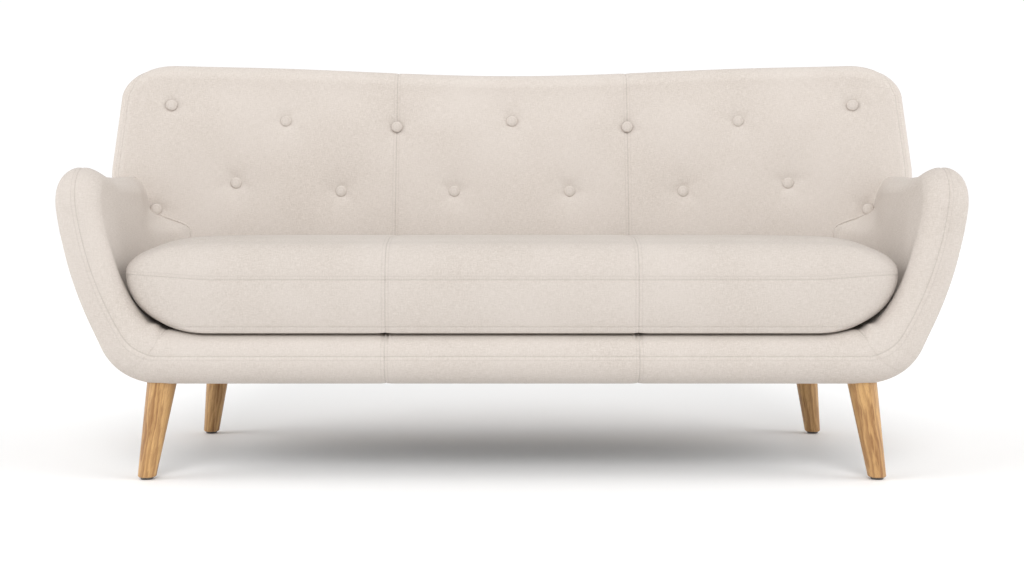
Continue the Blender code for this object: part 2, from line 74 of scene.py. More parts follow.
BELLY_AT, BELLY_REACH = 0.775, 0.040
CORNER_FILL_AT, CORNER_FILL_REACH = 0.757, 0.046
ARM_HOLLOW = 0.014  # how far the cushion presses into an arm's inner face

# The back.
BACK_HALF_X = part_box("back_pad")[1].x
REAR_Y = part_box("back_pad")[1].y
BACK_TOP, BACK_RISE, BACK_RISE_X = 0.882, 0.018, 0.66
BACK_CORNER_X, BACK_CORNER = 0.120, 0.088
BACK_LEAN_X, BACK_LEAN = 0.013, 0.165  # how far, and over what height, its sides lean in below its corners
BACK_FRONT_Y, BACK_FOOT_Z = 0.097, 0.30
BACK_SLOPE = math.tan(math.radians(10.5))
BACK_REAR_Z = BACK_TOP + BACK_RISE - 0.022  # the height at which its rear face reaches REAR_Y
BACK_REAR_SLOPE = 0.16
BACK_WRAP, BACK_WRAP_FROM = 0.11, 0.30
BACK_ROUND, BACK_REAR_ROUND = 0.036, 0.6  # its front rim's radius, and the rear rim's as a share of that
BACK_FLARE = 0.24
BACK_CROWN = 0.011
BACK_SEAM_X = 0.280
SIDE_SEAM = math.radians(66.0)  # the seam near the back's edge, as a turn around its rim
TOP_SEAM = math.radians(25.0)  # how far behind the rim that seam runs along the top
DIMPLE = 0.013
DIMPLE_NARROW, DIMPLE_BROAD = 0.019, 0.055
REAR_COVER_INSET = 0.0586

# The seat cushion.
CUSHION_HALF_X = 0.792
CUSHION_FRONT_Y = -0.413
CUSHION_CORNER = 0.052
CUSHION_LOW_Z, CUSHION_WIDEST_Z, CUSHION_TOP_Z = 0.3035, 0.4065, 0.481
CUSHION_END_RISE = 0.011  # how much higher its widest line is at the ends
CUSHION_SIDE, CUSHION_UNDERSIDE = 0.118, 0.142
CUSHION_EDGE, CUSHION_LOW_EDGE = 0.060, 0.010
CUSHION_BEHIND = 0.022  # how far its rear stays in front of the back's foot
CUSHION_DROOP = 0.0065  # how far its front hangs down over the border
CUSHION_SWELL = 0.012  # how far the filling may push the cover out
FOAM_INSET = 0.022
LOWER_SEAM, END_SEAM = math.radians(-64.0), 0.010  # a turn around its edge, and how far inside its ends
SEAT_SEAM_X = 0.2565

FAR = 0.5  # a distance that counts as far from every seam
WELT, WELT_SIDES = 0.0025, 12  # radius and roundness of the welt between arm and back
WELT_FROM, WELT_DOWN = 0.885, 0.08  # where along the tub it starts, and how far it runs down outside
BUTTONS = sorted(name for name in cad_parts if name.startswith("back_button"))
BUTTON_RADIUS, BUTTON_SIDES = 0.0137, 48
BUTTON_SUNK = 0.0016  # how deep a button's rim lies in the back's plane
BUTTON_DOME = ((0.80, -0.0030), (0.95, -0.0016), (1.0, 0.0004), (0.985, 0.0018), (0.93, 0.0030),
               (0.82, 0.0039), (0.66, 0.0046), (0.45, 0.0051), (0.22, 0.0054))  # share of radius, height

# Fabric, and the studio's sky.
CREAM, OATMEAL = (0.648, 0.594, 0.550), (0.458, 0.405, 0.357)
# painted light and shade: the same fabric drawn a little lighter on the back and darker on the tub and the
# seat cushion
BACK_PAINTED_LIGHT, TUB_PAINTED_SHADE, SEAT_PAINTED_SHADE = 1.025, 0.98, 0.955
YARN, STITCH = 0.0016, 0.0045  # width of a yarn, and length of a stitch with its gap
# the last number of each seam is how dark the shade painted into its crease is
SEWN = (("seam_a", (-0.0066, 0.0070), 0.26), ("seam_b", (-0.0076,), 0.20))  # seam, stitch rows, darkness
SKY_ABOVE, SKY_SIDES, SKY_BEHIND = 0.60, 2.5, 1.03


# ---------------------------------------------------------------- shapes as formulas

def smooth(value, low, high):
    """0 below low, 1 above high, and a smooth step between."""
    share = np.clip((value - low) / (high - low), 0.0, 1.0)
    return share * share * (3 - 2 * share)


def bump(distance, width):
    """1 at no distance, falling off smoothly over the width."""
    return np.exp(-(distance / width) ** 2)


def tub(t, shift):
    """Point (x, z) at distance t along the tub wall from the middle, shifted inwards from its middle line."""
    along = np.abs(t)
    rest = np.maximum(along - FLAT_X, 0.0)
    first = np.minimum(rest / RADIUS_1, BEND_1)
    second = np.clip((rest - RADIUS_1 * BEND_1) / RADIUS_2, 0.0, BEND_2)
    straight = np.maximum(along - TUB_END, 0.0)
    angle = first + second
    x = np.minimum(along, FLAT_X) + RADIUS_1 * np.sin(first)
    x = x + RADIUS_2 * (np.sin(angle) - np.sin(first)) + straight * np.cos(angle)
    z = BASE_Z + RADIUS_1 * (1 - np.cos(first))
    z = z + RADIUS_2 * (np.cos(first) - np.cos(angle)) + straight * np.sin(angle)
    return np.sign(t) * (x - shift * np.sin(angle)), z + shift * np.cos(angle)


def wall_half(t):
    """Half the wall's thickness: thicker below the seat than in the arms."""
    share = np.clip((np.abs(t) - FLAT_X) / 0.3, 0.0, 1.0)
    return BASE_HALF + (ARM_HALF - BASE_HALF) * share


def corner(distance, half, radius, inset=0.0, height=None):
    """How far a rounded outline draws in at a distance from its middle; an oval corner has its own height."""
    height = height or radius
    share = np.maximum(0.0, np.abs(distance) - (half - radius)) / (radius - inset)
    return height - (height - inset) * np.sqrt(np.maximum(0.0, 1 - share ** 2))


def back_corner(x, inset):
    """How far the back's top draws in at its ends: an oval corner above a side that leans in."""
    lean = np.clip(1 - (BACK_HALF_X - inset - np.abs(x)) / BACK_LEAN_X, 0.0, 1.0)
    return corner(x, BACK_HALF_X - BACK_LEAN_X, BACK_CORNER_X, inset, BACK_CORNER) + BACK_LEAN * lean


def back_plane(x, z):
    """Y of the back's front face without its padding."""
    share = np.maximum(0.0, np.abs(x) - BACK_WRAP_FROM) / (BACK_HALF_X - BACK_WRAP_FROM)
    return BACK_FRONT_Y + BACK_SLOPE * (z - BACK_FOOT_Z) - BACK_WRAP * share ** 2


def back_rear(z):
    """Y of the back's rear face."""
    return REAR_Y - BACK_REAR_SLOPE * (BACK_REAR_Z - z)


def back_top(x):
    """Height of the back's top edge, lowest in the middle, without its corners."""
    return BACK_TOP + BACK_RISE * (1 - np.cos(math.pi * np.minimum(1.0, np.abs(x) / BACK_RISE_X))) / 2


def outer_height(x, inset):
    """Height of the tub's outer face, or of its line carried on upwards, at x; drawn in by inset."""
    samples = np.linspace(0, TUB_END + 0.16, 300)
    line_x, line_z = tub(samples, inset - wall_half(samples))
    line_x = line_x + BACK_FLARE * np.maximum(0.0, samples - TUB_END)
    return np.interp(np.abs(x), line_x, line_z)


def nearest(*distances):
    """Whichever of some signed distances is the smallest, point by point."""
    stacked = np.stack(np.broadcast_arrays(*distances))
    return np.take_along_axis(stacked, np.abs(stacked).argmin(0)[None], 0)[0]


# ---------------------------------------------------------------- meshes

def mesh_object(name, verts, faces, values=None):
    """A smooth object from points and faces, with a number stored on each point for every key of values."""
    mesh = bpy.data.meshes.new(name)
    mesh.from_pydata(verts.tolist(), [], faces)
    for key, numbers in (values or {}).items():
        mesh.attributes.new(key, "FLOAT", "POINT").data.foreach_set("value", numbers.astype(np.float32))
    made = bpy.data.objects.new(name, mesh)
    bpy.context.collection.objects.link(made)
    bm = bmesh.new()
    bm.from_mesh(mesh)
    bmesh.ops.remove_doubles(bm, verts=bm.verts, dist=1e-6)
    bmesh.ops.recalc_face_normals(bm, faces=bm.faces)
    bm.to_mesh(mesh)
    bm.free()
    mesh.shade_smooth()
    return made


def shell(name, layers, values):
    """A closed surface from grids of points: caps on the first and last, walls around all of them."""
    across, along = layers[0].shape[:2]
    rim_i = [*range(across), *[across - 1] * (along - 1), *range(across - 2, -1, -1), *[0] * (along - 2)]
    rim_j = [*[0] * across, *range(1, along), *[along - 1] * (across - 1), *range(along - 2, 0, -1)]
    verts, kept, loops, faces, count = [], {key: [] for key in values}, [], [], 0
    for number, grid in enumerate(layers):
        capped = number in (0, len(layers) - 1)
        if capped:
            index = np.arange(across * along).reshape(across, along) + count
            quads = np.stack([index[:-1, :-1], index[1:, :-1], index[1:, 1:], index[:-1, 1:]], -1)
            faces += quads.reshape(-1, 4).tolist()
            loops.append(index[rim_i, rim_j])
        else:
            loops.append(np.arange(len(rim_i)) + count)
        points = grid.reshape(-1, 3) if capped else grid[rim_i, rim_j]
        verts.append(points)
        count += len(points)
        for key, grids in values.items():
            kept[key].append(grids[number].reshape(-1) if capped else grids[number][rim_i, rim_j])
    for low, high in zip(loops, loops[1:]):
        faces += np.stack([low, np.roll(low, -1), np.roll(high, -1), high], -1).tolist()
    joined = {key: np.concatenate(parts) for key, parts in kept.items()}
    return mesh_object(name, np.concatenate(verts), faces, joined)


def ring_faces(rings, sides):
    """Quads that join each ring of points to the next."""
    faces = []
    for low in range(0, (rings - 1) * sides, sides):
        for k in range(sides):
            j = (k + 1) % sides
            faces.append((low + k, low + j, low + sides + j, low + sides + k))
    return faces


def read_values(mesh, key):
    numbers = np.zeros(len(mesh.vertices), np.float32)
    mesh.attributes[key].data.foreach_get("value", numbers)
    return numbers.astype(float)


def read_points(mesh, field="vertices"):
    numbers = np.zeros(len(mesh.vertices) * 3, np.float32)
    if field == "vertices":
        mesh.vertices.foreach_get("co", numbers)
    else:
        mesh.vertex_normals.foreach_get("vector", numbers)
    return numbers.astype(float).reshape(-1, 3)


def move_points(mesh, points):
    mesh.vertices.foreach_set("co", points.astype(np.float32).ravel())
    mesh.update()


def refine(obj, key, reach, cuts):
    """Cuts the edges that lie near a seam, so that a narrow groove has enough points."""
    bm = bmesh.new()
    bm.from_mesh(obj.data)
    layer = bm.verts.layers.float[key]
    near = [e for e in bm.edges if all(abs(v[layer]) < reach for v in e.verts)]
    bmesh.ops.subdivide_edges(bm, edges=near, cuts=cuts, use_grid_fill=True)
    bm.to_mesh(obj.data)
    bm.free()
    obj.data.shade_smooth()


def groove(obj, keys, narrow, broad):
    """Draws the surface in along its seams, a narrow valley inside a broad one, and where it laps under."""
    points, normals = read_points(obj.data), read_points(obj.data, "normals")
    depth = 0.0
    if "lap" in obj.data.attributes:
        depth = LAP_DIVE * np.clip(-read_values(obj.data, "lap"), 0.0, LAP)
    for key in keys:
        distance = read_values(obj.data, key)
        depth = depth + narrow[0] * bump(distance, narrow[1]) + broad[0] * bump(distance, broad[1])
    move_points(obj.data, points - normals * np.asarray(depth)[:, None])


# ---------------------------------------------------------------- upholstery

def arm_rows(low, end, inset):
    """Distances along the wall from an arm's mitre to its top, closest together at both ends."""
    start = low + 0.03 * np.linspace(0, 1, 9)[:-1] ** 1.5
    arc = end - ARM_CORNER + (ARM_CORNER - inset) * np.sin(np.linspace(0, math.pi / 2, 20))
    return np.concatenate([start, np.linspace(low + 0.03, end - ARM_CORNER, 40)[:-1], arc])


def belly(t, depth):
    """Extra fullness of the outer and the inner face at the tub's lower corners."""
    outside = BELLY * min(0.0, depth) * bump(np.abs(t) - BELLY_AT, BELLY_REACH)
    return outside + CORNER_FILL * max(0.0, depth) * bump(np.abs(t) - CORNER_FILL_AT, CORNER_FILL_REACH)


def rim_inset(t, half, turn):
    """How far the rim's rounding lies behind its front, less in the tub's lower corners."""
    puff = CORNER_PUFF * bump(np.abs(t) - CORNER_PUFF_AT, CORNER_PUFF_REACH) * smooth(turn, 0.0, 0.6)
    return half * (1 - math.cos(turn)) * (1 - puff)


def arm_point(t, y, front, turn, end):
    """x, y, z of the right arm's surface: padded, pressed in and thickened at the back."""
    depth = math.sin(turn)
    inside = max(0.0, depth)
    dip = ARM_DIP * smooth(y, -0.36, -0.22) - ARM_RISE * smooth(y, -0.15, 0.05)
    t = t - dip * smooth(t, end - 0.16, end)
    shift = wall_half(t) * depth + belly(t, depth)
    across, height = tub(t, shift)
    low_down = smooth(ARM_MEETS_Z - height, 0.0, 0.075)
    fillet = ARM_FILLET * low_down * smooth(end - t, 0.02, 0.06)
    reach = 0.09 + 0.12 * low_down
    meets = back_surface(across - fillet, height)
    share = np.clip((y - meets + reach) / reach, 0, 1)
    shift = shift + fillet * (1 - np.sqrt(1 - share ** 2)) * inside
    narrow = ARM_NARROW * (1 - low_down) * smooth(y - meets, -0.16, 0.0) * inside
    shift = shift - narrow
    t = t - 0.5 * narrow * smooth(t, end - 0.10, end - 0.03)
    shift = shift - ARM_HOLLOW * inside * bump(height - CUSHION_WIDEST_Z, 0.065) * smooth(y, -0.40, -0.35)
    away = smooth(y - front, 0.0, 0.09) * smooth(end - t, 0.03, 0.12)
    shift = shift + ARM_CROWN * away * depth * smooth(t, FLAT_X + 0.06, FLAT_X + 0.16)
    x, z = tub(t, shift)
    return x, y, z


def faded(distance, depth):
    """A distance from the mitre that grows outwards, so that its groove shows only near the cushion."""
    away = MITRE_FADE * (1 - smooth(depth, 0.25, 0.95))
    return distance + np.where(distance < 0, -away, away)


def arm_pad(side, name):
    """One padded arm; side is -1 for the left one and 1 for the right one."""
    end = TUB_END + ARM_HALF
    rim_columns, face_columns = np.linspace(0, 0.12, 16)[:-1], 1 - 0.88 * np.linspace(1, 0, 90) ** 1.3
    columns = np.concatenate([rim_columns, face_columns])
    layers, seam_a, seam_b, lap = [], [], [], []
    for turn in np.radians(np.linspace(-90, 90, 45)):
        depth, inset = math.sin(turn), ARM_HALF * (1 - math.cos(turn))
        low = MITRE_AT - MITRE_SLOPE * BASE_HALF * depth
        t = arm_rows(low - LAP, end, inset)
        front = FRONT_Y + corner(t, end, ARM_CORNER, inset) + rim_inset(t, wall_half(t), turn) - inset
        rear = back_plane(0.90, tub(t, 0.0)[1]) + BACK_ROUND - 0.001
        y = front[:, None] + (rear - front)[:, None] * columns[None, :]
        t = np.repeat(t[:, None], len(columns), axis=1)
        from_mitre = t - low
        slope = MITRE_SLOPE if depth > 0 else MITRE_REAR_SLOPE
        moved = MITRE_AT - slope * BASE_HALF * depth - low
        behind = smooth(y, BORDER_Y - 0.004, BORDER_Y + 0.012)
        t = t + moved * behind * np.clip((FLAT_X + 0.06 - t) / (FLAT_X + 0.06 - low), 0, 1)
        x, y, z = arm_point(t, y, front[:, None], turn, end)
        layers.append(np.stack([side * x, y, z], -1))
        lap.append(np.where(y < BORDER_Y, from_mitre, FAR))
        seam_a.append(faded(lap[-1], depth))
        seam_b.append(np.full_like(y, turn * ARM_HALF - RIM_SEAM))
    pad = shell(name + "_cover", layers, {"seam_a": seam_a, "seam_b": seam_b, "lap": lap})
    refine(pad, "seam_b", 0.010, 1)
    groove(pad, ["seam_a", "seam_b"], (0.0008, 0.0016), (0.0012, 0.008))
    return pad


def border_steps():
    """Shares of the border's half length, from -1 to 1, closest together at its seams and its mitres."""
    near_seam = SEAT_SEAM_X / MITRE_AT + np.linspace(-0.02, 0.02, 13)
    near_mitre = 1 - np.linspace(0.001, 0.03, 9)
    half = np.sort(np.concatenate([np.linspace(0, 1, 120), near_seam, near_mitre]))
    return np.concatenate([-half[:0:-1], half])


def border_pad():
    """The padded border below the seat cushion."""
    steps, columns = border_steps(), np.linspace(0, 1, 14)
    layers, seam_a, seam_b, lap = [], [], [], []
    for turn in np.radians(np.linspace(-90, 90, 41)):
        depth = math.sin(turn)
        end = MITRE_AT - MITRE_SLOPE * BASE_HALF * depth + LAP
        t = np.repeat((steps * end)[:, None], len(columns), axis=1)
        front = FRONT_Y + rim_inset(t, wall_half(t), turn)
        y = front + (BORDER_Y - front) * columns[None, :]
        x, z = tub(t, wall_half(t) * depth + belly(t, depth))
        from_seam = np.abs(x) - SEAT_SEAM_X
        pucker = PUCKER * np.cos(from_seam * 2 * math.pi / PUCKER_PITCH) * bump(from_seam, 0.011)
        z = z + pucker * smooth(z, BASE_Z + 0.02, BASE_Z + BASE_HALF)
        pressed = BORDER_PRESS * smooth(y, -0.425, -0.400) * (1 - smooth(np.abs(x), 0.62, 0.70))
        z = z - pressed * smooth(depth, 0.0, 0.9)
        layers.append(np.stack([x, y, z], -1))
        lap.append(end - LAP - np.abs(t))
        seam_a.append(nearest(from_seam, faded(lap[-1], depth)))
        seam_b.append(np.full_like(y, turn * BASE_HALF - RIM_SEAM))
    pad = shell("front_border_cover", layers, {"seam_a": seam_a, "seam_b": seam_b, "lap": lap})
    refine(pad, "seam_b", 0.010, 1)
    groove(pad, ["seam_a", "seam_b"], (0.0008, 0.0016), (0.0010, 0.008))
    return pad


def button_spots():
    """Where the buttons sit, as seen from the front."""
    spots = []
    for name in BUTTONS:
        low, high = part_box(name)
        spots.append(((low.x + high.x) / 2, (low.z + high.z) / 2))
    return spots


def padding(x, z, fade):
    """How far the back's padding stands in front of its plane: crowned, and pulled in at the buttons."""
    pull = np.zeros_like(x)
    for bx, bz in button_spots():
        away = np.hypot(x - bx, z - bz)
        around = np.arctan2(z - bz, x - bx)
        dip = 0.50 * bump(away, DIMPLE_NARROW) + 0.50 * bump(away, DIMPLE_BROAD)
        folds = 0.0007 * np.cos(5 * around + 7 * bx) * bump(away - 0.034, 0.016)
        pull = np.maximum(pull, DIMPLE * dip + folds)
    seams = 0.0035 * bump(np.abs(x) - BACK_SEAM_X, 0.035) * fade
    return BACK_CROWN * fade + 0.002 - pull - seams


def back_fade(x, z):
    """0 at the back's rim and 1 well inside it."""
    edge = np.minimum(BACK_HALF_X - np.abs(x), back_top(x) - z)
    return smooth(edge, BACK_ROUND, BACK_ROUND + 0.11)


def back_surface(x, z):
    """Y of the back's padded front face, with its rounded rim."""
    edge = np.clip(BACK_HALF_X - np.abs(x), 0.0, BACK_ROUND)
    rim = BACK_ROUND - np.sqrt(BACK_ROUND ** 2 - (BACK_ROUND - edge) ** 2)
    return back_plane(x, z) + rim - padding(x, z, back_fade(x, z))


def back_outline(inset, middle, turns, leans, rows):
    """Grid of x and z that fills the back's outline drawn in by inset: even columns in the middle, then the
    turns of its round corners and the leans of its sides."""
    half, radius = BACK_HALF_X - BACK_LEAN_X, BACK_CORNER_X
    arc = half - radius + (radius - inset) * np.sin(np.linspace(0, math.pi / 2, turns))
    arc = np.concatenate([arc, arc[-1] + BACK_LEAN_X * np.linspace(0, 1, leans)[1:]])
    x = np.concatenate([-arc[::-1], np.linspace(radius - half, half - radius, middle)[1:-1], arc])
    low = outer_height(x, inset)[:, None]
    high = (back_top(x) - back_corner(x, inset))[:, None]
    return np.repeat(x[:, None], rows, axis=1), low + (high - low) * np.linspace(0, 1, rows)[None, :]


def side_seam(x, z):
    """Turn around the rim at which the edge seam runs: in sight at the ends, behind the top elsewhere."""
    across = (np.abs(x) - (BACK_HALF_X - BACK_LEAN_X - BACK_CORNER_X)) / BACK_CORNER_X
    on_top = smooth(np.arctan2((z - back_top(x)) / BACK_CORNER + 1, across), 0.3, 1.45)
    return SIDE_SEAM * (1 - on_top) - TOP_SEAM * on_top


def back_pad():
    """The padded, buttoned back."""
    layers, seam_a, seam_b = [], [], []
    turns = np.radians(np.linspace(90, 0, 26))
    for turn in turns:
        x, z = back_outline(BACK_ROUND * (1 - math.cos(turn)), 340, 48, 12, 150)
        depth = BACK_ROUND * (1 - math.sin(turn))
        stand = padding(x, z, back_fade(x, z)) * math.sin(turn) ** 4
        layers.append(np.stack([x, back_plane(x, z) + depth - stand, z], -1))
        seam_a.append(np.abs(x) - BACK_SEAM_X)
        seam_b.append((turn - side_seam(x, z)) * BACK_ROUND)
    for turn in turns[::-1]:
        radius = BACK_REAR_ROUND * BACK_ROUND
        x, z = back_outline(radius * (1 - math.cos(turn)), 340, 48, 12, 150)
        depth = radius * (1 - math.sin(turn))
        layers.append(np.stack([x, back_rear(z) - depth, z], -1))
        seam_a.append(np.full_like(x, FAR))
        seam_b.append((-turn - side_seam(x, z)) * BACK_ROUND - 0.05)
    pad = shell("back_pad_cover", layers, {"seam_a": seam_a, "seam_b": seam_b})
    refine(pad, "seam_a", 0.008, 1)
    groove(pad, ["seam_a", "seam_b"], (0.0009, 0.0018), (0.0008, 0.008))
    return pad


def cushion_layer(turn, wall=0.0):
    """One layer of the seat cushion, from -90 degrees below to 90 degrees above, drawn in by wall."""
    half, above = CUSHION_HALF_X, turn > 0
    side = (CUSHION_SIDE if above else CUSHION_UNDERSIDE) * (1 - math.cos(turn)) + wall
    edge = (CUSHION_EDGE if above else CUSHION_LOW_EDGE) * (1 - math.cos(turn)) + wall
    level = CUSHION_TOP_Z - wall if above else CUSHION_LOW_Z + wall
    arc = half - CUSHION_CORNER * (1 - np.sin(np.linspace(0, math.pi / 2, 12)))
    middle = np.linspace(CUSHION_CORNER - half, half - CUSHION_CORNER, 124)[1:-1]
    x = np.concatenate([-arc[::-1], middle, arc])
    drawn = corner(x, half, CUSHION_CORNER)
    x = x * (half - side) / half
    y_front = CUSHION_FRONT_Y + edge + drawn
    y_rear = back_plane(x, CUSHION_WIDEST_Z) - CUSHION_BEHIND - edge - drawn * 1.3
    y = y_front[:, None] + (y_rear - y_front)[:, None] * np.linspace(0, 1, 40)[None, :]
    x = np.repeat(x[:, None], y.shape[1], axis=1)
    widest = CUSHION_WIDEST_Z + CUSHION_END_RISE * smooth(np.abs(x), half - 0.20, half)
    z = widest + (level - widest) * abs(math.sin(turn))
    z = z - CUSHION_DROOP * smooth(-y, 0.365, 0.40) * smooth(-turn, 0.7, 1.4)
    return np.stack([x, y, z], -1)


def seat_cushion():
    """The loose seat cushion's sewn cover, blown up and then grooved along its seams."""
    turns = np.radians(np.linspace(-90, 90, 27))
    layers = [cushion_layer(turn) for turn in turns]
    seam_a = [np.abs(grid[..., 0]) - SEAT_SEAM_X for grid in layers]
    seam_b = []
    for turn, grid in zip(turns, layers):
        share = np.abs(grid[..., 0]) / grid[..., 0].max()
        ends = CUSHION_HALF_X * (1 - share) - END_SEAM if -1.45 < turn < 0 else FAR
        widest = np.full_like(share, -turn * 0.085)
        seam_b.append(nearest(widest, (turn - LOWER_SEAM) * 0.100, ends))
    pad = shell("seat_cushion_cover_sewn", layers, {"seam_a": seam_a, "seam_b": seam_b})
    inflate(pad)
    step = pad.modifiers.new("finer", "SUBSURF")
    step.levels = step.render_levels = 1
    apply_all(pad)
    for key in ("seam_a", "seam_b"):
        refine(pad, key, 0.008, 1)
    groove(pad, ["seam_a"], (0.0009, 0.0018), (0.0010, 0.010))
    groove(pad, ["seam_b"], (0.0006, 0.0016), (0.0004, 0.010))
    return pad


def foam_core(surface):
    """The foam inside the cushion's cover."""
    layers = [cushion_layer(turn, FOAM_INSET) for turn in np.radians(np.linspace(-90, 90, 13))]
    made = shell("seat_cushion_foam", layers, {})
    give(made, surface)
    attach(made, "seat_cushion")
    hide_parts("seat_cushion_core")


def apply_all(obj):
    """Puts the result of an object's modifiers into its mesh."""
    graph = bpy.context.evaluated_depsgraph_get()
    graph.update()
    shaped = obj.evaluated_get(graph)
    mesh = bpy.data.meshes.new_from_object(shaped, preserve_all_data_layers=True, depsgraph=graph)
    obj.modifiers.clear()
    obj.data = mesh
    mesh.shade_smooth()


def inflate(obj, frames=20):
    """Blows the sewn cushion up as cloth, held at its seams and where it lies on the deck."""
    start = read_points(obj.data)
    seam = np.abs(read_values(obj.data, "seam_b"))
    hold = obj.vertex_groups.new(name="held")
    lying = start[:, 2] < CUSHION_LOW_Z + 0.001
    for index in range(len(start)):
        weight = 1.0 if lying[index] else (0.35 if seam[index] < 0.006 else 0.0)
        if weight:
            hold.add([index], weight, "REPLACE")
    cloth = obj.modifiers.new("cloth", "CLOTH")
    settings = cloth.settings
    settings.quality = 4
    settings.mass = 0.3
    settings.tension_stiffness = settings.compression_stiffness = 25
    settings.shear_stiffness = 10
    settings.bending_stiffness = 2.0
    settings.use_pressure = True
    settings.uniform_pressure_force = 4.0
    settings.vertex_group_mass = "held"
    settings.effector_weights.gravity = 0.0
    cloth.collision_settings.use_collision = False
    cloth.collision_settings.use_self_collision = False
    cloth.point_cache.frame_start, cloth.point_cache.frame_end = 1, frames
    for number in range(1, frames + 1):
        bpy.context.scene.frame_set(number)
    graph = bpy.context.evaluated_depsgraph_get()
    blown = read_points(obj.evaluated_get(graph).to_mesh())
    obj.modifiers.clear()
    obj.vertex_groups.clear()
    bpy.context.scene.frame_set(1)
    normals = read_points(obj.data, "normals")
    outwards = np.maximum(0.0, ((blown - start) * normals).sum(1))
    outwards = CUSHION_SWELL * np.tanh(outwards / CUSHION_SWELL / 2)
    outwards[lying] = 0.0
    move_points(obj.data, start + normals * outwards[:, None])


# ---------------------------------------------------------------- materials

class Nodes:
    """Short calls for building a material's node tree."""

    def __init__(self, name):
        self.material = bpy.data.materials.new(name)
        self.material.use_nodes = True
        self.tree = self.material.node_tree
        self.shader = self.tree.nodes["Principled BSDF"]

    def value(self, socket, given):
        """Links a socket to another one, or sets it to a constant."""
        if isinstance(given, bpy.types.NodeSocket):
            self.tree.links.new(given, socket)
        else:
            socket.default_value = given

    def math(self, kind, *given):
        node = self.tree.nodes.new("ShaderNodeMath")
        node.operation = kind
        for socket, item in zip(node.inputs, given):
            self.value(socket, item)
        return node.outputs[0]

    def mix(self, share, first, second):
        node = self.tree.nodes.new("ShaderNodeMix")
        node.data_type = "RGBA"
        self.value(node.inputs["Factor"], share)
        for key, item in (("A", first), ("B", second)):
            socket = [s for s in node.inputs if s.name == key and s.type == "RGBA"][0]
            self.value(socket, (*item, 1.0) if isinstance(item, tuple) else item)
        return [s for s in node.outputs if s.type == "RGBA"][0]

    def pick(self, share, first, second):
        """first where share is 0 and second where it is 1, for numbers."""
        return self.math("ADD", first, self.math("MULTIPLY", share, self.math("SUBTRACT", second, first)))

    def point(self, x, y, z):
        node = self.tree.nodes.new("ShaderNodeCombineXYZ")
        for socket, item in zip(node.inputs, (x, y, z)):
            self.value(socket, item)
        return node.outputs[0]

    def split(self, vector):
        node = self.tree.nodes.new("ShaderNodeSeparateXYZ")
        self.tree.links.new(vector, node.inputs[0])
        return node.outputs

    def noise(self, vector, scale, detail=2.0, rough=0.5):
        node = self.tree.nodes.new("ShaderNodeTexNoise")
        self.tree.links.new(vector, node.inputs["Vector"])
        node.inputs["Scale"].default_value = scale
        node.inputs["Detail"].default_value = detail
        node.inputs["Roughness"].default_value = rough
        return node.outputs["Fac"]

    def ramp(self, share, low, high):
        """Stretches share from low..high to 0..1."""
        node = self.tree.nodes.new("ShaderNodeMapRange")
        node.clamp = True
        self.value(node.inputs["Value"], share)
        node.inputs["From Min"].default_value = low
        node.inputs["From Max"].default_value = high
        return node.outputs["Result"]

    def place(self):
        return self.tree.nodes.new("ShaderNodeTexCoord").outputs["Object"]

    def attribute(self, name):
        node = self.tree.nodes.new("ShaderNodeAttribute")
        node.attribute_name = name
        return node.outputs["Fac"]

    def finish(self, colour, roughness, height=None, strength=0.3, distance=0.001):
        """Sets the shader's colour, roughness and fine relief, and gives the material."""
        self.value(self.shader.inputs["Base Color"], colour)
        self.value(self.shader.inputs["Roughness"], roughness)
        if height is not None:
            node = self.tree.nodes.new("ShaderNodeBump")
            node.inputs["Strength"].default_value = strength
            node.inputs["Distance"].default_value = distance
            self.tree.links.new(height, node.inputs["Height"])
            self.tree.links.new(node.outputs["Normal"], self.shader.inputs["Normal"])
        return self.material


def surface_coordinates(n):
    """Two coordinates in metres that lie in the surface, whichever way it faces."""
    x, y, z = n.split(n.place())
    normal = n.tree.nodes.new("ShaderNodeNewGeometry").outputs["Normal"]
    nx, ny, nz = (n.math("ABSOLUTE", part) for part in n.split(normal))
    faces_x = n.math("GREATER_THAN", nx, n.math("MAXIMUM", ny, nz))
    faces_z = n.math("GREATER_THAN", nz, n.math("MAXIMUM", nx, ny))
    return n.pick(faces_x, x, y), n.pick(faces_z, z, y)


